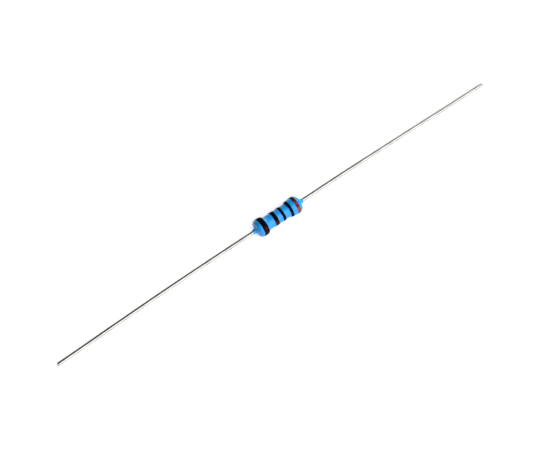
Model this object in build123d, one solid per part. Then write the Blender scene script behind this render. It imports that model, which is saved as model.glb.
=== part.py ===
from build123d import *
import os

# An axial film resistor, lying as it comes to rest. Sizes are in millimetres.
# The body's axis runs along X. Z = 0 is the surface that it lies on, and the origin is on that
# surface, under the middle of the body. The left end, at -X, carries the tolerance band.
LEFT, RIGHT = -1, 1
SIDE_NAMES = {LEFT: "left", RIGHT: "right"}

# ---- ceramic rod, and the resistive film on it ----
CORE_DIA = 1.42
CORE_CHAMFER = 0.10
FILM_THICKNESS = 0.03
GROOVE_WIDTH = 0.12        # the trimming cut that turns the film into a spiral track
GROOVE_PITCH = 0.48
GROOVE_TO_CAP = 0.20       # whole film left between each cap's rim and the trimming cut

# ---- pressed end caps ----
CAP_WALL = 0.13
CAP_FACE = 0.18            # thickness of the closed end
CAP_DEPTH = 1.05           # how far the rim reaches over the rod
CAP_CORNER = 0.14          # outside radius of the closed end
CAP_RIM_ROUND = 0.04

# ---- lead wires ----
WIRE_DIA = 0.48
WIRE_END_CHAMFER = 0.05
LEAD_LENGTH = 28.65        # along X, from the coat's domed end to the tip
LEAD_STRAIGHT = 10.0       # along X, from the coat's domed end to the slight bend
BEND_RADIUS = 95.0
TIP_GAP = {LEFT: 0.0, RIGHT: 0.40}          # height of each tip above the surface
FOOT_DIA = 0.76            # upset of the wire where it is welded to its cap
FOOT_HEIGHT = 0.16

# ---- insulating coat ----
COAT_LENGTH = 6.66         # over the two domed ends, without the necks
COAT_ON_CAP_FACE = 0.35
COAT_ON_CAP_SIDE = {LEFT: 0.30, RIGHT: 0.25}    # bulbs
COAT_ON_FILM = 0.17                             # waist
SWELL_BEFORE_RIM = {LEFT: 0.03, RIGHT: 0.43}    # from the start of the swell to the cap's rim
SWELL_LENGTH = {LEFT: 0.42, RIGHT: 0.50}        # along X, from the waist to the bulb
SWELL_RADIUS = 0.50                             # of both bends between waist and bulb
SHOULDER_RADIUS = {LEFT: 0.40, RIGHT: 0.54}
DOME_SLOPE = {LEFT: 0.20, RIGHT: 0.26}          # how far the shoulder lies behind the neck
NECK_LENGTH = {LEFT: 0.52, RIGHT: 0.42}         # the coat's creep along each lead
NECK_ROOT_COAT = 0.14                           # coat on the wire at the neck's two ends
NECK_TIP_COAT = 0.04
NECK_FILLET = 0.16

# ---- printed colour bands ----
INK_THICKNESS = 0.03
TOLERANCE_BAND_WIDTH = 0.70
TOLERANCE_BAND_FROM_END = 0.61      # from the coat's left end to the band's near edge
VALUE_BANDS = [                     # from the right end: gap before the band, and its width
    ("first_band_brown", 0.66, 0.42),
    ("second_band_black", 0.55, 0.33),
    ("third_band_black", 0.77, 0.36),
    ("multiplier_band_brown", 0.62, 0.52),
]

# ---- sizes that follow from those above ----
FILM_DIA = CORE_DIA + 2 * FILM_THICKNESS
CAP_DIA = FILM_DIA + 2 * CAP_WALL
DOME_X = COAT_LENGTH / 2
CAP_END_X = DOME_X - COAT_ON_CAP_FACE
CORE_END_X = CAP_END_X - CAP_FACE
CAP_RIM_X = CORE_END_X - CAP_DEPTH
WAIST_RADIUS = FILM_DIA / 2 + COAT_ON_FILM
BULB_RADIUS = {side: CAP_DIA / 2 + COAT_ON_CAP_SIDE[side] for side in (LEFT, RIGHT)}
AXIS_HEIGHT = max(BULB_RADIUS.values()) + INK_THICKNESS
BODY_AXIS = Axis((0, 0, AXIS_HEIGHT), (1, 0, 0))


def section(outline, radii=None, side=RIGHT):
    """A face beside the body's axis, from (distance from the middle, radius) points.

    Radii round the points between the first and the last, which a straight line joins."""
    points = [Vector(side * x, 0, AXIS_HEIGHT + radius) for x, radius in outline]
    path = FilletPolyline(*points, radius=radii) if radii else Polyline(*points)
    return make_face(path + Line(points[-1], points[0]))


def turned(face):
    return revolve(face, BODY_AXIS)


def ceramic_core():
    end, radius, cut = CORE_END_X, CORE_DIA / 2, CORE_CHAMFER
    return turned(section([(-end, 0), (-end, radius - cut), (cut - end, radius),
                           (end - cut, radius), (end, radius - cut), (end, 0)]))


def resistive_film():
    """The film on the rod's side, cut through to the ceramic by a spiral groove."""
    end, inner, outer = CORE_END_X - CORE_CHAMFER, CORE_DIA / 2, FILM_DIA / 2
    sleeve = turned(section([(-end, inner), (-end, outer), (end, outer), (end, inner)]))
    groove_length = 2 * (CAP_RIM_X - GROOVE_TO_CAP)
    groove_start = Vector(-groove_length / 2, 0, AXIS_HEIGHT)
    path = Helix(GROOVE_PITCH, groove_length, inner, center=groove_start, direction=(1, 0, 0))
    cut_plane = Plane(path @ 0, x_dir=(path @ 0) - groove_start, z_dir=path % 0)
    cutter = sweep(cut_plane * Rectangle(4 * FILM_THICKNESS, GROOVE_WIDTH), path, is_frenet=True)
    return sleeve - cutter


def cap_blank(side):
    """The outside of an end cap, filled up to its rim."""
    radius = CAP_DIA / 2
    return turned(section([(CAP_RIM_X, 0), (CAP_RIM_X, radius), (CAP_END_X, radius),
                           (CAP_END_X, 0)], [CAP_RIM_ROUND, CAP_CORNER], side))


def end_cap(side):
    """A cup pressed over the film, with its closed end against the end of the rod."""
    radius = FILM_DIA / 2
    bore = turned(section([(CAP_RIM_X, 0), (CAP_RIM_X, radius), (CORE_END_X, radius),
                           (CORE_END_X, 0)], side=side))
    return cap_blank(side) - bore


def lead_wire(side):
    """From its cap straight out along the axis, then slightly down towards the surface."""
    path = FilletPolyline(
        (side * CAP_END_X, 0, AXIS_HEIGHT),
        (side * (DOME_X + LEAD_STRAIGHT), 0, AXIS_HEIGHT),
        (side * (DOME_X + LEAD_LENGTH), 0, TIP_GAP[side] + WIRE_DIA / 2),
        radius=BEND_RADIUS,
    )
    wire = sweep(Plane(path @ 0, z_dir=path % 0) * Circle(WIRE_DIA / 2), path)
    tip = wire.faces().sort_by(lambda face: side * face.center().X)[-1]
    wire = chamfer(tip.edges(), WIRE_END_CHAMFER)
    foot_x = CAP_END_X + FOOT_HEIGHT
    foot = turned(section([(CAP_END_X, 0), (CAP_END_X, FOOT_DIA / 2), (foot_x, WIRE_DIA / 2),
                           (foot_x, 0)], side=side))
    return wire + foot


def coat_end(side):
    """The coat's outline from the waist to the neck's tip: (distance, radius, corner's radius)."""
    swell_x = CAP_RIM_X - SWELL_BEFORE_RIM[side]
    neck = WIRE_DIA / 2
    return [
        (swell_x, WAIST_RADIUS, SWELL_RADIUS),
        (swell_x + SWELL_LENGTH[side], BULB_RADIUS[side], SWELL_RADIUS),
        (DOME_X - DOME_SLOPE[side], BULB_RADIUS[side], SHOULDER_RADIUS[side]),
        (DOME_X, neck + NECK_ROOT_COAT, NECK_FILLET),
        (DOME_X + NECK_LENGTH[side], neck + NECK_TIP_COAT, 0),
        (DOME_X + NECK_LENGTH[side], 0, None),
    ]


def coat_section():
    """The coat's whole outside, down to the axis."""
    left = [(-x, radius, rounding) for x, radius, rounding in reversed(coat_end(LEFT))]
    corners = left + coat_end(RIGHT)
    outline = [(x, radius) for x, radius, rounding in corners]
    return section(outline, [rounding for x, radius, rounding in corners[1:-1]])


def insulating_coat():
    """The dipped coat, shrunk tight on the film, the caps and the roots of the leads."""
    radius = FILM_DIA / 2
    filmed_rod = turned(section([(-CAP_RIM_X, 0), (-CAP_RIM_X, radius), (CAP_RIM_X, radius),
                                 (CAP_RIM_X, 0)]))
    coat = turned(coat_section()) - filmed_rod
    for side in (LEFT, RIGHT):
        coat = coat - cap_blank(side) - lead_wire(side)
    return coat


def colour_band(start, width):
    """A ring of ink that follows the coat, from start to start + width along X."""
    outside = coat_section()
    skin = offset(outside, INK_THICKNESS) - outside
    top = 2 * AXIS_HEIGHT
    strip = section([(start, 0), (start, top), (start + width, top), (start + width, 0)])
    return turned(skin & strip)


def colour_bands():
    """Each band's name and ring: the value bands from the right end, then the tolerance band."""
    bands = {}
    edge = DOME_X
    for name, gap, width in VALUE_BANDS:
        edge = edge - gap - width
        bands[name] = colour_band(edge, width)
    left_edge = TOLERANCE_BAND_FROM_END - DOME_X
    bands["tolerance_band_brown"] = colour_band(left_edge, TOLERANCE_BAND_WIDTH)
    return bands


def resistor():
    """Every piece of the resistor, by name."""
    pieces = {
        "ceramic_core": ceramic_core(),
        "resistive_film": resistive_film(),
        "insulating_coat": insulating_coat(),
    }
    for side, name in SIDE_NAMES.items():
        pieces[name + "_end_cap"] = end_cap(side)
        pieces[name + "_lead_wire"] = lead_wire(side)
    return pieces | colour_bands()


if __name__ == "__main__":
    os.makedirs("parts", exist_ok=True)
    for piece_name, piece in resistor().items():
        export_step(piece, f"parts/{piece_name}.step")
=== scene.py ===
import math

import bmesh
import bpy
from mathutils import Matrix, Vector


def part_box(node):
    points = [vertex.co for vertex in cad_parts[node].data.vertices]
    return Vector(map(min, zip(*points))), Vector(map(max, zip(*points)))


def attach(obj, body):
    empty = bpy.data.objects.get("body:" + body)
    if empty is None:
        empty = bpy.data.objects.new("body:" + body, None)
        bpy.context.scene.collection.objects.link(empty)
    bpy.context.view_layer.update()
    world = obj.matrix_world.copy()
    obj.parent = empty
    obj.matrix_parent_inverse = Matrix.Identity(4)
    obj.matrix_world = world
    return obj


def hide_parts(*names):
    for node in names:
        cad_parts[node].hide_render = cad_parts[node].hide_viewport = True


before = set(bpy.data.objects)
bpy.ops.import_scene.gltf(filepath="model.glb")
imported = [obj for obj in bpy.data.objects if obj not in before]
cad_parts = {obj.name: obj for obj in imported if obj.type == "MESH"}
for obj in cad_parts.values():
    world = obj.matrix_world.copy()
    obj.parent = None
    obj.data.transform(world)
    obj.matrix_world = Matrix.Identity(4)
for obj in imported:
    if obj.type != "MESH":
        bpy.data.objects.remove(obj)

# An axial film resistor lying on a white table. Lengths are in metres, and MM turns millimetres
# into them. The body's axis runs along X, and the left end, at -X, carries the tolerance band.
MM = 0.001
SAME_PLACE = 0.0001 * MM            # points nearer than this are one point
LEFT, RIGHT = -1, 1
SIDE_NAMES = {LEFT: "left", RIGHT: "right"}
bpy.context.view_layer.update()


# ---------------------------------------------------------------- sizes

def low(node, axis):
    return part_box(node)[0]["XYZ".index(axis)]


def high(node, axis):
    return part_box(node)[1]["XYZ".index(axis)]


def radius_of(node):
    """The outside radius of a piece that is round about the body's axis."""
    return (high(node, "Y") - low(node, "Y")) / 2


AXIS_Z = (low("ceramic_core", "Z") + high("ceramic_core", "Z")) / 2
FILM_RADIUS = radius_of("resistive_film")
CAP_RADIUS = radius_of("right_end_cap")
CAP_RIM_X = low("right_end_cap", "X")
CAP_END_X = high("right_end_cap", "X")

INK = 0.03 * MM                     # how far the printed bands stand proud of the lacquer
INK_SUNK = 0.008 * MM               # how far their undersides are bedded in it
INK_EDGE_ROUND = 0.02 * MM
INK_WANDER = 0.09 * MM              # how far the edge of a band strays along the body
INK_WANDER_DEPTH = 0.11 * MM        # how far into the band that straying is felt
INK_WANDER_SIZE = 0.32 * MM         # from one wave of such an edge to the next
LAP_RISE = 0.012 * MM               # the extra ink where a print ends over its own start
LAP_HALF_WIDTH = 9                  # in degrees about the body's axis
LAP_AT = {                          # where that is on each band, in those degrees from +Y
    "first_band_brown": 305,
    "second_band_black": 300,
    "third_band_black": 310,
    "multiplier_band_brown": 302,
    "tolerance_band_brown": 308,
}
WAIST_RADIUS = radius_of("third_band_black") - INK
BULB_RADIUS = {
    LEFT: radius_of("tolerance_band_brown") - INK,
    RIGHT: radius_of("first_band_brown") - INK,
}

NECK_TIP_X = {LEFT: -low("insulating_coat", "X"), RIGHT: high("insulating_coat", "X")}
NECK_LENGTH = {LEFT: 0.52 * MM, RIGHT: 0.42 * MM}
DOME_X = NECK_TIP_X[RIGHT] - NECK_LENGTH[RIGHT]
SWELL_BEFORE_RIM = {LEFT: 0.03 * MM, RIGHT: 0.43 * MM}
SWELL_LENGTH = {LEFT: 0.42 * MM, RIGHT: 0.50 * MM}
SWELL_ROUND = 0.20 * MM             # how far each rounding reaches along the outline
SHOULDER_ROUND = {LEFT: 0.36 * MM, RIGHT: 0.44 * MM}
DOME_SLOPE = {LEFT: 0.20 * MM, RIGHT: 0.26 * MM}    # how far the shoulder lies behind the neck
NECK_ROOT_COAT = 0.14 * MM          # lacquer on the wire where the neck starts
NECK_ROUND = 0.12 * MM
NECK_EDGE = 0.02 * MM               # the lacquer's feathered edge on the wire
NECK_RETREAT = 0.17 * MM            # how uneven that edge is, along the wire
SLUMP_SIZE, SLUMP_DEPTH = 1.6 * MM, 0.035 * MM      # the coat's broad unevenness
RIPPLE_SIZE, RIPPLE_DEPTH = 0.5 * MM, 0.008 * MM    # and its fine unevenness
THIN_COAT = 0.012 * MM              # lacquer as thin as this has neither
THICKER_BY = 0.12 * MM              # and lacquer thicker than that by this much has both in full
COAT_STEP = 0.1 * MM                # the longest stretch of the coat's outline
COAT_SIDES = 160                    # and the flats round it

WIRE_RADIUS = 0.24 * MM
FOOT_RADIUS = radius_of("right_lead_wire")
FOOT_HEIGHT = 0.16 * MM
LEAD_STRAIGHT = 10 * MM             # from the coat's domed end to the slight bend, along X
LEAD_LENGTH = 28.65 * MM            # from the coat's domed end to the tip, along X
BEND_RADIUS = 95 * MM
TIP_GAP = {LEFT: 0.0, RIGHT: 0.40 * MM}             # height of each tip above the table
TIP_TRIM = 0.1 * MM                 # how far before the lead's full length the slanting cut is
TIP_SLANT = 0.28                    # how far that cut leans: at 0 it is square to the wire
TIP_EDGE_ROUND = 0.035 * MM
SWAY = (("Y", 0.09 * MM), ("Z", 0.03 * MM))         # each lead's slight waviness
SWAY_SIZE = 9 * MM                  # from one wave to the next
SWAY_START = 8 * MM                 # the length over which it grows from none
SMOOTH_ANGLE = math.radians(40)     # edges sharper than this stay sharp to the eye


# ---------------------------------------------------------------- modelling helpers

def start_at(name, point):
    """A new object of one vertex, left in edit mode with that vertex selected."""
    bpy.ops.object.select_all(action="DESELECT")
    bpy.ops.mesh.primitive_plane_add(size=MM, location=(0, 0, 0))
    piece = bpy.context.object
    piece.name = piece.data.name = name
    bpy.ops.object.mode_set(mode="EDIT")
    bpy.ops.mesh.select_mode(type="VERT")
    bpy.ops.mesh.merge(type="CENTER")
    bpy.ops.transform.translate(value=point)
    return piece


def extrude_by(offset):
    bpy.ops.mesh.extrude_region_move(TRANSFORM_OT_translate={"value": offset})


def select_where(piece, kind, wanted):
    """In edit mode, selects just the verts, edges or faces for which wanted(element) is true."""
    bpy.ops.mesh.select_all(action="DESELECT")
    mesh = bmesh.from_edit_mesh(piece.data)
    chosen = [element for element in getattr(mesh, kind) if wanted(element)]
    for element in chosen:
        element.select_set(True)
    mesh.select_flush(kind != "verts")
    bmesh.update_edit_mesh(piece.data)
    return len(chosen)


def axis_distance(point):
    return math.hypot(point.y, point.z - AXIS_Z)


def round_corner(piece, x, radius, reach):
    """Rounds the outline's corner at that place; the rounding reaches that far along both sides."""
    place = Vector((x, 0, AXIS_Z + radius))
    select_where(piece, "verts", lambda vert: (vert.co - place).length < SAME_PLACE)
    bpy.ops.mesh.bevel(affect="VERTICES", offset_type="OFFSET", offset=reach, segments=6,
                       profile=0.5)


def cut_long_edges(piece, longest):
    """Divides each edge of an outline into stretches no longer than that."""
    most_cuts = 40
    for cuts in range(most_cuts, 0, -1):
        def needs_cuts(edge):
            return math.ceil(edge.calc_length() / longest) - 1 == cuts
        if select_where(piece, "edges", needs_cuts):
            bpy.ops.mesh.subdivide(number_cuts=cuts)


def close_and_turn(steps):
    """Spins the selected outline once round the body's axis, and closes the seam."""
    bpy.ops.mesh.select_all(action="SELECT")
    bpy.ops.mesh.spin(steps=steps, angle=2 * math.pi, center=(0, 0, AXIS_Z), axis=(1, 0, 0))
    bpy.ops.mesh.select_all(action="SELECT")
    bpy.ops.mesh.remove_doubles(threshold=SAME_PLACE)
    bpy.ops.mesh.normals_make_consistent(inside=False)


def weigh(piece, group_name, weight):
    """A vertex group whose weights are a function of each vertex's place."""
    group = piece.vertex_groups.new(name=group_name)
    for vert in piece.data.vertices:
        value = weight(vert.co)
        if value > 0:
            group.add([vert.index], value, "REPLACE")


def select_only(piece):
    bpy.ops.object.select_all(action="DESELECT")
    piece.select_set(True)
    bpy.context.view_layer.objects.active = piece


def clouds(name, size, depth=2):
    texture = bpy.data.textures.new(name, type="CLOUDS")
    texture.noise_scale = size
    texture.noise_depth = depth
    return texture


def finish_with(piece, kind, **settings):
    """Adds a modifier with those settings and applies it."""
    select_only(piece)
    bpy.ops.object.modifier_add(type=kind)
    modifier = piece.modifiers[-1]
    for setting, value in settings.items():
        setattr(modifier, setting, value)
    bpy.ops.object.modifier_apply(modifier=modifier.name)


def hand_over(piece, nodes, material):
    """Finishes a piece: smooth shading, its material, and the CAD nodes that it stands for."""
    select_only(piece)
    bpy.ops.object.shade_smooth_by_angle(angle=SMOOTH_ANGLE)
    piece.vertex_groups.clear()
    piece.data.materials.clear()
    piece.data.materials.append(material)
    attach(piece, "root")
    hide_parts(*nodes)


# ---------------------------------------------------------------- insulating coat

def coat_corners(side):
    """One end's corners from the waist outwards: (x, radius, reach of its rounding)."""
    swell_x = CAP_RIM_X - SWELL_BEFORE_RIM[side]
    return [
        (side * swell_x, WAIST_RADIUS, SWELL_ROUND),
        (side * (swell_x + SWELL_LENGTH[side]), BULB_RADIUS[side], SWELL_ROUND),
        (side * (DOME_X - DOME_SLOPE[side]), BULB_RADIUS[side], SHOULDER_ROUND[side]),
        (side * DOME_X, WIRE_RADIUS + NECK_ROOT_COAT, NECK_ROUND),
        (side * NECK_TIP_X[side], WIRE_RADIUS + NECK_EDGE, 0.0),
    ]


def cavity_corners(side):
    """The coat's inside from the wire's bore to the film: (x, radius)."""
    foot_x = CAP_END_X + FOOT_HEIGHT
    corners = [
        (NECK_TIP_X[side], WIRE_RADIUS),
        (foot_x, WIRE_RADIUS),
        (CAP_END_X, FOOT_RADIUS),
        (CAP_END_X, CAP_RADIUS),
        (CAP_RIM_X, CAP_RADIUS),
        (CAP_RIM_X, FILM_RADIUS),
    ]
    return [(side * x, radius) for x, radius in corners]


def insulating_coat():
    """The dipped lacquer shell: one closed skin with the cavity that caps, film and leads fill."""
    outside = list(reversed(coat_corners(LEFT))) + coat_corners(RIGHT)
    inside = cavity_corners(RIGHT) + list(reversed(cavity_corners(LEFT)))
    route = [(x, radius) for x, radius, reach in outside] + inside
    piece = start_at("lacquer_coat", (route[0][0], 0, AXIS_Z + route[0][1]))
    for (x0, radius0), (x1, radius1) in zip(route, route[1:]):
        extrude_by((x1 - x0, 0, radius1 - radius0))
    ends = (route[0], route[-1])
    select_where(piece, "verts", lambda vert: any(
        abs(vert.co.x - x) + abs(vert.co.z - AXIS_Z - radius) < SAME_PLACE for x, radius in ends))
    bpy.ops.mesh.edge_face_add()
    for x, radius, reach in outside:
        if reach:
            round_corner(piece, x, radius, reach)
    cut_long_edges(piece, COAT_STEP)
    close_and_turn(COAT_SIDES)
    bpy.ops.object.mode_set(mode="OBJECT")
    return piece


def cavity_radius(x):
    """The radius of the coat's inside at that place along the axis."""
    for end, radius in ((CAP_RIM_X, FILM_RADIUS), (CAP_END_X, CAP_RADIUS),
                        (CAP_END_X + FOOT_HEIGHT, FOOT_RADIUS)):
        if abs(x) < end:
            return radius
    return WIRE_RADIUS


def settle_coat(piece):
    """The slight unevenness of a dipped coat, wherever it is thick enough."""
    def thickness(point):
        depth = axis_distance(point) - cavity_radius(point.x)
        return min(1.0, max(0.0, (depth - THIN_COAT) / THICKER_BY))

    weigh(piece, "outside", thickness)
    finish_with(piece, "DISPLACE", texture=clouds("slumps", SLUMP_SIZE), texture_coords="LOCAL",
                strength=SLUMP_DEPTH, mid_level=1.0, vertex_group="outside")
    finish_with(piece, "DISPLACE", texture=clouds("ripples", RIPPLE_SIZE), texture_coords="LOCAL",
                strength=RIPPLE_DEPTH, mid_level=0.5, vertex_group="outside")


def draw_back_neck(piece, side):
    """Makes the lacquer's edge on the wire uneven: it lies furthest back on its upper side."""
    half = NECK_LENGTH[side] / 2

    def retreat(point):
        """From none at the middle of the neck to the most at its edge."""
        along = (side * point.x - DOME_X - half) / half
        turn = math.atan2(point.z - AXIS_Z, point.y)
        uneven = 0.5 + 0.32 * math.sin(turn) + 0.18 * math.sin(2 * turn + 1.0)
        return max(0.0, along) * uneven

    neck = "neck_" + SIDE_NAMES[side]
    weigh(piece, neck, retreat)
    finish_with(piece, "DISPLACE", direction="X", strength=-side * NECK_RETREAT, mid_level=0.0,
                vertex_group=neck)


# ---------------------------------------------------------------- colour bands

def cut_ring(piece, start, end):
    """Leaves only the coat's outer surface from start to end along the body."""
    close_to_cavity = 0.05 * MM
    sliver = 0.006 * MM
    bpy.ops.object.mode_set(mode="EDIT")
    bpy.ops.mesh.select_mode(type="VERT")
    bpy.ops.mesh.select_all(action="SELECT")
    bpy.ops.mesh.bisect(plane_co=(start, 0, AXIS_Z), plane_no=(1, 0, 0), threshold=SAME_PLACE,
                        clear_inner=True)
    bpy.ops.mesh.select_all(action="SELECT")
    bpy.ops.mesh.bisect(plane_co=(end, 0, AXIS_Z), plane_no=(1, 0, 0), threshold=SAME_PLACE,
                        clear_outer=True)
    select_where(piece, "verts", lambda vert: (
        axis_distance(vert.co) < cavity_radius(vert.co.x) + close_to_cavity))
    bpy.ops.mesh.delete(type="VERT")
    bpy.ops.mesh.select_all(action="SELECT")
    bpy.ops.mesh.remove_doubles(threshold=sliver)
    bpy.ops.object.mode_set(mode="OBJECT")


def colour_band(node, coat, material):
    """A ring of ink cut from a copy of the coat's own surface, so that it follows every swell."""
    select_only(coat)
    bpy.ops.object.duplicate()
    piece = bpy.context.object
    piece.name = piece.data.name = node + "_ink"
    piece.vertex_groups.clear()
    start, end = low(node, "X"), high(node, "X")
    cut_ring(piece, start, end)

    def at_edge(point):
        return max(0.0, 1.0 - min(abs(point.x - start), abs(point.x - end)) / INK_WANDER_DEPTH)

    def at_lap(point):
        """Where the printed stripe ends over its own start."""
        turn = math.degrees(math.atan2(point.z - AXIS_Z, point.y)) % 360
        return max(0.0, 1.0 - (abs(turn - LAP_AT[node]) / LAP_HALF_WIDTH) ** 4)

    weigh(piece, "edges", at_edge)
    weigh(piece, "lap", at_lap)
    waves = clouds(node + "_edge", INK_WANDER_SIZE)
    finish_with(piece, "DISPLACE", texture=waves, texture_coords="LOCAL", direction="X",
                strength=INK_WANDER, mid_level=0.5, vertex_group="edges")
    finish_with(piece, "SHRINKWRAP", target=coat, wrap_method="NEAREST_SURFACEPOINT")
    finish_with(piece, "DISPLACE", strength=LAP_RISE, mid_level=0.0, vertex_group="lap")
    depth = INK + INK_SUNK
    finish_with(piece, "SOLIDIFY", thickness=depth, offset=(INK - INK_SUNK) / depth,
                use_even_offset=True)
    finish_with(piece, "BEVEL", width=INK_EDGE_ROUND, segments=3, limit_method="ANGLE",
                angle_limit=math.radians(45))
    hand_over(piece, [node], material)


# ---------------------------------------------------------------- lead wires

def lead_wire(side, material):
    """A drawn wire from its welded foot, straight out of the coat and then slightly downwards."""
    node = SIDE_NAMES[side] + "_lead_wire"
    tip_z = TIP_GAP[side] + WIRE_RADIUS
    corner_x = DOME_X + LEAD_STRAIGHT
    drop, run = AXIS_Z - tip_z, LEAD_LENGTH - LEAD_STRAIGHT
    slope = math.atan2(drop, run)
    reach = BEND_RADIUS * math.tan(slope / 2)
    foot_x, bend_x = CAP_END_X + FOOT_HEIGHT, corner_x - reach

    bpy.ops.object.select_all(action="DESELECT")
    bpy.ops.mesh.primitive_circle_add(vertices=32, radius=FOOT_RADIUS, rotation=(0, math.pi / 2, 0),
                                      location=(side * CAP_END_X, 0, AXIS_Z))
    bpy.ops.object.transform_apply(location=True, rotation=True, scale=True)
    piece = bpy.context.object
    piece.name = piece.data.name = SIDE_NAMES[side] + "_tinned_wire"
    bpy.ops.object.mode_set(mode="EDIT")
    bpy.ops.mesh.select_mode(type="VERT")
    bpy.ops.mesh.select_all(action="SELECT")
    draw_down_foot(side)
    inner_stretches, outer_stretches = 12, 20
    for step in range(inner_stretches):
        extrude_by((side * (bend_x - foot_x) / inner_stretches, 0, 0))
    bpy.ops.mesh.spin(steps=8, angle=-side * slope, center=(side * bend_x, 0, AXIS_Z - BEND_RADIUS),
                      axis=(0, 1, 0))
    length = math.hypot(run, drop) - reach
    outwards = Vector((side * math.cos(slope), 0, -math.sin(slope)))
    for step in range(outer_stretches):
        extrude_by(outwards * (length / outer_stretches))
    trim_tip(piece, Vector((side * (DOME_X + LEAD_LENGTH), 0, tip_z)), outwards)
    select_where(piece, "edges", lambda edge: edge.is_boundary and abs(edge.verts[0].co.x) < foot_x)
    bpy.ops.mesh.edge_face_add()
    bpy.ops.mesh.select_all(action="SELECT")
    bpy.ops.mesh.normals_make_consistent(inside=False)
    bpy.ops.object.mode_set(mode="OBJECT")

    def freedom(point):
        return min(1.0, max(0.0, (abs(point.x) - NECK_TIP_X[side]) / SWAY_START))

    weigh(piece, "free", freedom)
    for direction, sway in SWAY:
        waves = clouds("sway_" + direction, SWAY_SIZE, 0)
        finish_with(piece, "DISPLACE", texture=waves, texture_coords="LOCAL", direction=direction,
                    strength=sway, mid_level=0.5, vertex_group="free")
    hand_over(piece, [node], material)


def draw_down_foot(side):
    """Extrudes the selected ring of the wire's foot outwards, down to the wire's own radius."""
    steps = 5
    radius = FOOT_RADIUS
    for step in range(1, steps + 1):
        share = step / steps
        slimmer = WIRE_RADIUS + (FOOT_RADIUS - WIRE_RADIUS) * (1 - share) ** 2
        extrude_by((side * FOOT_HEIGHT / steps, 0, 0))
        centre = (side * (CAP_END_X + FOOT_HEIGHT * share), 0, AXIS_Z)
        bpy.ops.transform.resize(value=(1, slimmer / radius, slimmer / radius),
                                 center_override=centre)
        radius = slimmer


def trim_tip(piece, tip, outwards):
    """Shears the wire off at a slight slant, and breaks the sharp edge of the cut."""
    slant = (outwards + Vector((0, 0, TIP_SLANT))).normalized()
    cut_at = tip - outwards * TIP_TRIM
    bpy.ops.mesh.select_all(action="SELECT")
    bpy.ops.mesh.bisect(plane_co=cut_at, plane_no=slant, threshold=SAME_PLACE, clear_outer=True,
                        use_fill=True)
    select_where(piece, "edges", lambda edge: all(
        abs((vert.co - cut_at).dot(slant)) < SAME_PLACE for vert in edge.verts))
    bpy.ops.mesh.bevel(offset=TIP_EDGE_ROUND, segments=3, affect="EDGES")


# ---------------------------------------------------------------- shader helpers

def add_node(tree, kind, inputs=None, **settings):
    """A shader node with its settings, its sockets filled with values or joined to other sockets."""
    made = tree.nodes.new(kind)
    for name, value in settings.items():
        setattr(made, name, value)
    for name, value in (inputs or {}).items():
        if isinstance(value, bpy.types.NodeSocket):
            tree.links.new(value, made.inputs[name])
        else:
            made.inputs[name].default_value = value
    return made


def maths(tree, operation, *values, clamp=False):
    return add_node(tree, "ShaderNodeMath", dict(enumerate(values)), operation=operation,
                    use_clamp=clamp).outputs[0]


def remap(tree, value, from_low, from_high, to_low=0.0, to_high=1.0):
    return add_node(tree, "ShaderNodeMapRange", {
        "Value": value, "From Min": from_low, "From Max": from_high, "To Min": to_low,
        "To Max": to_high}).outputs["Result"]


def between(tree, share, at_none, at_all):
    """A value that goes from the one to the other as the share goes from 0 to 1."""
    return remap(tree, share, 0.0, 1.0, at_none, at_all)


def scaled(tree, value, amount):
    return maths(tree, "MULTIPLY", value, amount)


def blend(tree, factor, first, second):
    """Two colours mixed by a factor. The node's colour sockets follow its float and vector ones."""
    return add_node(tree, "ShaderNodeMix", {0: factor, 6: first, 7: second},
                    data_type="RGBA").outputs[2]


def new_group(name, inputs, outputs):
    """An empty shader group: its tree, the sockets that bring its inputs, and those of its results."""
    tree = bpy.data.node_groups.new(name, "ShaderNodeTree")
    for label, kind in inputs:
        tree.interface.new_socket(name=label, in_out="INPUT", socket_type=kind)
    for label, kind in outputs:
        tree.interface.new_socket(name=label, in_out="OUTPUT", socket_type=kind)
    inside, outside = tree.nodes.new("NodeGroupInput"), tree.nodes.new("NodeGroupOutput")
    return tree, inside.outputs, outside.inputs


def in_millimetres(tree, stretch=(1, 1, 1)):
    """The piece's own coordinates in millimetres, squeezed along each axis by the stretch given."""
    place = add_node(tree, "ShaderNodeTexCoord").outputs["Object"]
    scale = [1 / MM / amount for amount in stretch]
    return add_node(tree, "ShaderNodeMapping", {"Vector": place, "Scale": scale}).outputs["Vector"]


def shade(hexcode):
    """A linear colour from the usual six-figure display code."""
    def linear(value):
        return value / 12.92 if value <= 0.04045 else ((value + 0.055) / 1.055) ** 2.4
    parts = [int(hexcode[i:i + 2], 16) / 255 for i in (0, 2, 4)]
    return tuple(linear(part) for part in parts) + (1.0,)


# ---------------------------------------------------------------- shared effects

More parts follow.
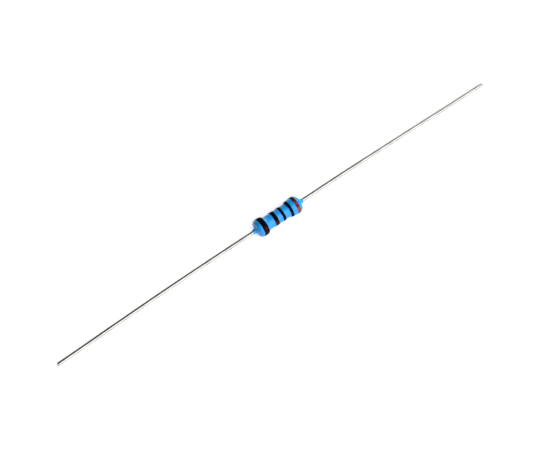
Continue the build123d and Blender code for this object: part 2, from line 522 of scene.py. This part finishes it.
def grain_group():
    """Uneven tone at two sizes: broad patches, and fine grain inside them."""
    noise_low, noise_high = 0.3, 0.7
    fine_share = 0.3
    tree, given, result = new_group("Patchy grain", [
        ("Vector", "NodeSocketVector"), ("Patch size", "NodeSocketFloat"),
        ("Fineness", "NodeSocketFloat")], [
        ("Tone", "NodeSocketFloat"), ("Height", "NodeSocketFloat")])
    broad_scale = maths(tree, "DIVIDE", 1.0, given["Patch size"])
    fine_scale = maths(tree, "MULTIPLY", broad_scale, given["Fineness"])
    broad = add_node(tree, "ShaderNodeTexNoise", {
        "Vector": given["Vector"], "Scale": broad_scale, "Detail": 3.0, "Roughness": 0.5})
    fine = add_node(tree, "ShaderNodeTexNoise", {
        "Vector": given["Vector"], "Scale": fine_scale, "Detail": 2.0, "Roughness": 0.6})
    broad_tone = remap(tree, broad.outputs["Fac"], noise_low, noise_high)
    fine_tone = remap(tree, fine.outputs["Fac"], noise_low, noise_high)
    tone = maths(tree, "ADD", scaled(tree, broad_tone, 1 - fine_share),
                 scaled(tree, fine_tone, fine_share))
    tree.links.new(tone, result["Tone"])
    tree.links.new(fine_tone, result["Height"])
    return tree


def scratch_group():
    """Sparse hairlines in some patches. A vector stretched along an axis draws them out along it."""
    noise_middle, line_width = 0.5, 0.012
    sparse_limit, dense_limit = 0.75, 0.35
    tree, given, result = new_group("Hairlines", [
        ("Vector", "NodeSocketVector"), ("Density", "NodeSocketFloat")], [
        ("Mask", "NodeSocketFloat")])
    lines = add_node(tree, "ShaderNodeTexNoise", {
        "Vector": given["Vector"], "Scale": 1.0, "Detail": 1.0, "Roughness": 0.4})
    patches = add_node(tree, "ShaderNodeTexNoise", {
        "Vector": given["Vector"], "Scale": 0.13, "Detail": 1.0})
    from_line = maths(tree, "SUBTRACT", lines.outputs["Fac"], noise_middle)
    thin = remap(tree, maths(tree, "ABSOLUTE", from_line), line_width, 0.0)
    limit = between(tree, given["Density"], sparse_limit, dense_limit)
    here = maths(tree, "GREATER_THAN", patches.outputs["Fac"], limit)
    tree.links.new(maths(tree, "MULTIPLY", thin, here), result["Mask"])
    return tree


def dust_group():
    """Scattered specks, each a small round dot in some of the cells of a cell pattern."""
    smallest, largest = 0.06, 0.2
    soft_edge = 0.6
    tree, given, result = new_group("Specks", [
        ("Vector", "NodeSocketVector"), ("Cell size", "NodeSocketFloat"),
        ("Share", "NodeSocketFloat")], [
        ("Mask", "NodeSocketFloat")])
    cells = add_node(tree, "ShaderNodeTexVoronoi", {
        "Vector": given["Vector"], "Scale": maths(tree, "DIVIDE", 1.0, given["Cell size"])})
    pick = add_node(tree, "ShaderNodeSeparateColor", {"Color": cells.outputs["Color"]})
    chosen = maths(tree, "LESS_THAN", pick.outputs["Red"], given["Share"])
    size = between(tree, pick.outputs["Green"], smallest, largest)
    dot = remap(tree, maths(tree, "DIVIDE", cells.outputs["Distance"], size), 1.0, soft_edge)
    tree.links.new(maths(tree, "MULTIPLY", chosen, dot), result["Mask"])
    return tree


def placed_group(tree, group, inputs):
    return add_node(tree, "ShaderNodeGroup", inputs, node_tree=group).outputs


GRAIN, HAIRLINES, SPECKS = grain_group(), scratch_group(), dust_group()


# ---------------------------------------------------------------- materials

LACQUER_DEEP, LACQUER_LIGHT, LACQUER_SPECK = shade("0894F6"), shade("10ACFA"), shade("087EE2")
# Each ink's dense colour fills its random dense patches and is also painted shade on the band's top;
# its thin colour fills thin patches and specks and is also painted light in front.
BROWN_DENSE_AND_SHADED, BROWN_THIN_AND_LIT = shade("0A0508"), shade("502019")
RUST_DENSE_AND_SHADED, RUST_THIN_AND_LIT = shade("451C28"), shade("9C5847")
BLACK_DENSE_AND_SHADED, BLACK_THIN_AND_LIT = shade("020612"), shade("06183E")
TIN_BRIGHT, TIN_DULL = shade("BCBBB8"), shade("9E9C98")
CAP_BRIGHT, CAP_DULL = shade("CFCCC6"), shade("A5A19A")
FILM_BRIGHT, FILM_DULL = shade("8B8580"), shade("5F5A57")
CERAMIC_WHITE, CERAMIC_SHADE, CERAMIC_SPECK = shade("EDE9DF"), shade("D9D3C6"), shade("B9AE9C")

# Y + Z, in millimetres, grows from the underside in front to the top behind. Past the first of these
# values a band's ink is painted darkest, as painted shade on its top, and before the second it is
# painted lightest, as painted light in front.
INK_PAINTED_SHADE_PAST, INK_PAINTED_LIGHT_BEFORE = 2.3, 0.7
INK_PAINTED_SHADE, INK_PAINTED_LIGHT = -0.3, 0.2     # what each of those adds to the ink's tone: painted shade on top, painted light in front


def new_material(name):
    material = bpy.data.materials.new(name)
    material.use_nodes = True
    tree = material.node_tree
    return material, tree, tree.nodes["Principled BSDF"]


def bump(tree, height, depth, strength):
    return add_node(tree, "ShaderNodeBump", {
        "Height": height, "Distance": depth, "Strength": strength}).outputs["Normal"]


def blue_lacquer():
    """Glossy blue lacquer, with slight patches, sparse specks and faint hairlines from wiping."""
    hairline_roughness, hairline_depth = 0.2, 0.5
    material, tree, shader = new_material("Blue lacquer")
    place = in_millimetres(tree)
    grain = placed_group(tree, GRAIN, {"Vector": place, "Patch size": 0.9, "Fineness": 7.0})
    specks = placed_group(tree, SPECKS, {"Vector": place, "Cell size": 0.3, "Share": 0.05})
    wiped = in_millimetres(tree, stretch=(0.5, 0.03, 0.03))
    lines = placed_group(tree, HAIRLINES, {"Vector": wiped, "Density": 0.35})
    colour = blend(tree, grain["Tone"], LACQUER_DEEP, LACQUER_LIGHT)
    colour = blend(tree, specks["Mask"], colour, LACQUER_SPECK)
    tree.links.new(colour, shader.inputs["Base Color"])
    roughness = maths(tree, "ADD", between(tree, grain["Tone"], 0.24, 0.34),
                      scaled(tree, lines["Mask"], hairline_roughness))
    tree.links.new(roughness, shader.inputs["Roughness"])
    height = maths(tree, "SUBTRACT", maths(tree, "ADD", grain["Height"], specks["Mask"]),
                   scaled(tree, lines["Mask"], hairline_depth))
    relief = bump(tree, height, depth=0.004 * MM, strength=0.6)
    tree.links.new(relief, shader.inputs["Normal"])
    shader.inputs["Coat Weight"].default_value = 0.25
    shader.inputs["Coat Roughness"].default_value = 0.08
    shader.inputs["Specular IOR Level"].default_value = 0.36
    return material


def printed_ink(name, dense, thin, thinness):
    """Ink over the lacquer in random dense and thin patches, painted darker on top as painted shade
    and lighter in front as painted light.
    """
    speck_cover = 0.5
    material, tree, shader = new_material(name)
    place = in_millimetres(tree)
    grain = placed_group(tree, GRAIN, {"Vector": place, "Patch size": 0.45, "Fineness": 8.0})
    specks = placed_group(tree, SPECKS, {"Vector": place, "Cell size": 0.16, "Share": 0.12})
    split = add_node(tree, "ShaderNodeSeparateXYZ", {"Vector": place}).outputs
    # Painted shade and painted light: by its place round the body, the ink is made darker on top and
    # lighter in front, as light falls there.
    front_to_top = maths(tree, "ADD", split["Y"], split["Z"])
    painted_shade_and_light = remap(tree, front_to_top, INK_PAINTED_SHADE_PAST, INK_PAINTED_LIGHT_BEFORE, INK_PAINTED_SHADE, INK_PAINTED_LIGHT)
    tone = maths(tree, "ADD", grain["Tone"], painted_shade_and_light)
    dense_below, thin_above = 0.65 - 0.5 * thinness, 1.05 - 0.4 * thinness
    colour = blend(tree, remap(tree, tone, dense_below, thin_above), dense, thin)
    colour = blend(tree, scaled(tree, specks["Mask"], speck_cover), colour, thin)
    tree.links.new(colour, shader.inputs["Base Color"])
    tree.links.new(between(tree, grain["Tone"], 0.32, 0.46), shader.inputs["Roughness"])
    height = maths(tree, "ADD", grain["Height"], specks["Mask"])
    relief = bump(tree, height, depth=0.004 * MM, strength=0.7)
    tree.links.new(relief, shader.inputs["Normal"])
    shader.inputs["Specular IOR Level"].default_value = 0.015
    return material


def drawn_metal(name, bright, dull, polish, draw=(2.5, 0.035, 0.035)):
    """Bright metal: fine marks, longest along the axis that draw is largest for, and tiny pits."""
    roughness_range = 0.14
    pit_dullness, blotch_roughness = 0.4, 0.06
    material, tree, shader = new_material(name)
    along = in_millimetres(tree, stretch=draw)
    place = in_millimetres(tree)
    marks = placed_group(tree, GRAIN, {"Vector": along, "Patch size": 1.0, "Fineness": 3.0})
    blotches = placed_group(tree, GRAIN, {"Vector": place, "Patch size": 1.6, "Fineness": 6.0})
    pits = placed_group(tree, SPECKS, {"Vector": place, "Cell size": 0.14, "Share": 0.15})
    lines = placed_group(tree, HAIRLINES, {"Vector": along, "Density": 0.5})
    colour = blend(tree, blotches["Tone"], dull, bright)
    colour = blend(tree, scaled(tree, pits["Mask"], pit_dullness), colour, dull)
    tree.links.new(colour, shader.inputs["Base Color"])
    roughness = maths(tree, "ADD", between(tree, marks["Tone"], polish, polish + roughness_range),
                      scaled(tree, blotches["Tone"], blotch_roughness))
    tree.links.new(roughness, shader.inputs["Roughness"])
    height = maths(tree, "SUBTRACT", marks["Tone"], maths(tree, "ADD", lines["Mask"], pits["Mask"]))
    relief = bump(tree, height, depth=0.003 * MM, strength=0.5)
    tree.links.new(relief, shader.inputs["Normal"])
    shader.inputs["Metallic"].default_value = 1.0
    return material


def fired_ceramic():
    """White alumina with a matt grain and darker specks."""
    speck_darkness = 0.6
    material, tree, shader = new_material("Fired alumina")
    place = in_millimetres(tree)
    grain = placed_group(tree, GRAIN, {"Vector": place, "Patch size": 0.5, "Fineness": 12.0})
    specks = placed_group(tree, SPECKS, {"Vector": place, "Cell size": 0.09, "Share": 0.1})
    colour = blend(tree, grain["Tone"], CERAMIC_SHADE, CERAMIC_WHITE)
    colour = blend(tree, scaled(tree, specks["Mask"], speck_darkness), colour, CERAMIC_SPECK)
    tree.links.new(colour, shader.inputs["Base Color"])
    tree.links.new(between(tree, grain["Tone"], 0.5, 0.7), shader.inputs["Roughness"])
    relief = bump(tree, grain["Height"], depth=0.006 * MM, strength=0.8)
    tree.links.new(relief, shader.inputs["Normal"])
    return material


def finish_cad_node(node, material):
    """A piece inside the coat keeps its own shape, and gets its finish."""
    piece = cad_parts[node]
    piece.data.materials.clear()
    piece.data.materials.append(material)


# ---------------------------------------------------------------- the resistor

lacquer = blue_lacquer()
tin = drawn_metal("Tinned wire", TIN_BRIGHT, TIN_DULL, polish=0.1)
coat = insulating_coat()
settle_coat(coat)
for side in (LEFT, RIGHT):
    draw_back_neck(coat, side)
brown = printed_ink("Brown ink", BROWN_DENSE_AND_SHADED, BROWN_THIN_AND_LIT, thinness=0.4)
rust = printed_ink("Thin brown ink", RUST_DENSE_AND_SHADED, RUST_THIN_AND_LIT, thinness=0.7)
black = printed_ink("Black ink", BLACK_DENSE_AND_SHADED, BLACK_THIN_AND_LIT, thinness=0.3)
INKS = {
    "first_band_brown": (rust, "brown_ink"),
    "second_band_black": (black, "black_ink"),
    "third_band_black": (black, "black_ink"),
    "multiplier_band_brown": (brown, "brown_ink"),
    "tolerance_band_brown": (brown, "brown_ink"),
}
for node, (ink, slot) in INKS.items():
    colour_band(node, coat, ink)
hand_over(coat, ["insulating_coat"], lacquer)
for side in (LEFT, RIGHT):
    lead_wire(side, tin)

cap_tin = drawn_metal("Tinned steel cap", CAP_BRIGHT, CAP_DULL, polish=0.28, draw=(0.5, 0.06, 0.06))
film_metal = drawn_metal("Nickel-chromium film", FILM_BRIGHT, FILM_DULL, polish=0.32,
                         draw=(0.05, 0.4, 0.4))
finish_cad_node("ceramic_core", fired_ceramic())
finish_cad_node("resistive_film", film_metal)
for side_name in SIDE_NAMES.values():
    finish_cad_node(side_name + "_end_cap", cap_tin)


# ---------------------------------------------------------------- table, light and camera

# Azimuths and elevations are in degrees. Azimuth 0 is in front, at -Y, and 90 is to the right.
CAMERA_AZIMUTH, CAMERA_ELEVATION = -36.65, 62.03
CAMERA_DISTANCE = 228 * MM
CAMERA_CLIP = (5 * MM, 20.0)        # the nearest and farthest that it sees
CAMERA_LENS, SENSOR_WIDTH = 126.5, 36.0
FRAME_OFFSET = (0.00421, 0.00464)   # the body right of and above the frame's middle, over distance

TABLE_RADIUS = 3.0
TABLE_WHITE = 0.8
TABLE_GLOW = 0.63                   # brings the table up to the backdrop's white

# A stretch of sky fades in between two cosines of the angle from its middle.
SKY_AZIMUTH, SKY_ELEVATION = 16, 27                 # the bright side of the sky
SKY_FADE = (0.43, 0.72)
FRONT_SKY, BACK_SKY = 1.18, 0.02
WINDOW_AZIMUTH, WINDOW_ELEVATION = 124, 25          # a small bright patch behind the right lead
WINDOW_FADE = (0.84, 0.94)
WINDOW_SKY = 2.0
BACKDROP_FADE = (0.24, 0.14)        # the sine of the elevation where the white backdrop ends
KEY_ELEVATION = 32
KEY_DISTANCE, KEY_SIZE = 0.6, 0.7
KEY_RADIANCE = 1.4


def towards(azimuth, elevation):
    """The unit vector from the object to a viewer or lamp at that azimuth and elevation."""
    turn, rise = math.radians(azimuth), math.radians(elevation)
    level = math.cos(rise)
    return Vector((math.sin(turn) * level, -math.cos(turn) * level, math.sin(rise)))


def camera():
    data = bpy.data.cameras.new("Camera")
    data.lens, data.sensor_width = CAMERA_LENS, SENSOR_WIDTH
    data.clip_start, data.clip_end = CAMERA_CLIP
    camera_object = bpy.data.objects.new("Camera", data)
    bpy.context.scene.collection.objects.link(camera_object)
    turn = math.radians(CAMERA_AZIMUTH)
    camera_object.rotation_euler = (math.radians(90 - CAMERA_ELEVATION), 0, turn)
    back = towards(CAMERA_AZIMUTH, CAMERA_ELEVATION)
    right = Vector((math.cos(turn), math.sin(turn), 0))
    up = back.cross(right)
    across, above = FRAME_OFFSET
    body = Vector((0, 0, AXIS_Z))
    camera_object.location = body + CAMERA_DISTANCE * (back - right * across - up * above)
    bpy.context.scene.camera = camera_object


def softbox(name, azimuth, elevation, distance, size, radiance):
    """A square lamp that faces the body, as bright as that wherever it is seen from."""
    data = bpy.data.lights.new(name, "AREA")
    data.shape, data.size = "SQUARE", size
    data.energy = radiance * math.pi * size ** 2
    lamp = bpy.data.objects.new(name, data)
    bpy.context.scene.collection.objects.link(lamp)
    direction = towards(azimuth, elevation)
    lamp.location = direction * distance
    lamp.rotation_euler = direction.to_track_quat("Z", "Y").to_euler()


def seen_directly(tree):
    """1 for a ray from the camera, or one that gloss or glass has turned, and 0 for diffuse light."""
    ray = add_node(tree, "ShaderNodeLightPath").outputs
    return maths(tree, "ADD", maths(tree, "ADD", ray["Is Camera Ray"], ray["Is Glossy Ray"]),
                 ray["Is Transmission Ray"], clamp=True)


def sky_patch(tree, direction, azimuth, elevation, fade, dim, bright):
    """A stretch of sky about that place: its radiance, which fades from dim up to bright."""
    middle = towards(azimuth, elevation)
    nearness = add_node(tree, "ShaderNodeVectorMath", {0: direction, 1: middle},
                        operation="DOT_PRODUCT").outputs["Value"]
    return remap(tree, nearness, *fade, dim, bright)


def studio():
    """A dim sky with a bright side and a brighter patch. Low down there is a white backdrop, which
    shows only to the camera and in gloss, and lights nothing."""
    world = bpy.data.worlds.new("Studio")
    world.use_nodes = True
    bpy.context.scene.world = world
    tree = world.node_tree
    direction = add_node(tree, "ShaderNodeTexCoord").outputs["Generated"]
    front = sky_patch(tree, direction, SKY_AZIMUTH, SKY_ELEVATION, SKY_FADE, BACK_SKY, FRONT_SKY)
    window = sky_patch(tree, direction, WINDOW_AZIMUTH, WINDOW_ELEVATION, WINDOW_FADE, 0.0, WINDOW_SKY)
    height = add_node(tree, "ShaderNodeSeparateXYZ", {"Vector": direction}).outputs["Z"]
    backdrop = maths(tree, "MULTIPLY", remap(tree, height, *BACKDROP_FADE), seen_directly(tree))
    strength = maths(tree, "MAXIMUM", maths(tree, "ADD", front, window), backdrop)
    tree.links.new(strength, tree.nodes["Background"].inputs["Strength"])
    tree.nodes["Background"].inputs["Color"].default_value = (1, 1, 1, 1)


def table():
    """A white table that keeps the resistor's shadow."""
    bpy.ops.object.select_all(action="DESELECT")
    bpy.ops.mesh.primitive_circle_add(vertices=96, radius=TABLE_RADIUS, fill_type="NGON")
    top = bpy.context.object
    top.name = "table_top"
    material, tree, shader = new_material("White table")
    shader.inputs["Base Color"].default_value = (TABLE_WHITE, TABLE_WHITE, TABLE_WHITE, 1)
    shader.inputs["Roughness"].default_value = 0.9
    shader.inputs["Specular IOR Level"].default_value = 0.0
    shader.inputs["Emission Color"].default_value = (1, 1, 1, 1)
    tree.links.new(maths(tree, "MULTIPLY", seen_directly(tree), TABLE_GLOW),
                   shader.inputs["Emission Strength"])
    top.data.materials.append(material)


camera()
studio()
softbox("Key softbox", SKY_AZIMUTH, KEY_ELEVATION, KEY_DISTANCE, KEY_SIZE, KEY_RADIANCE)
table()
bpy.context.scene.view_settings.view_transform = "Standard"
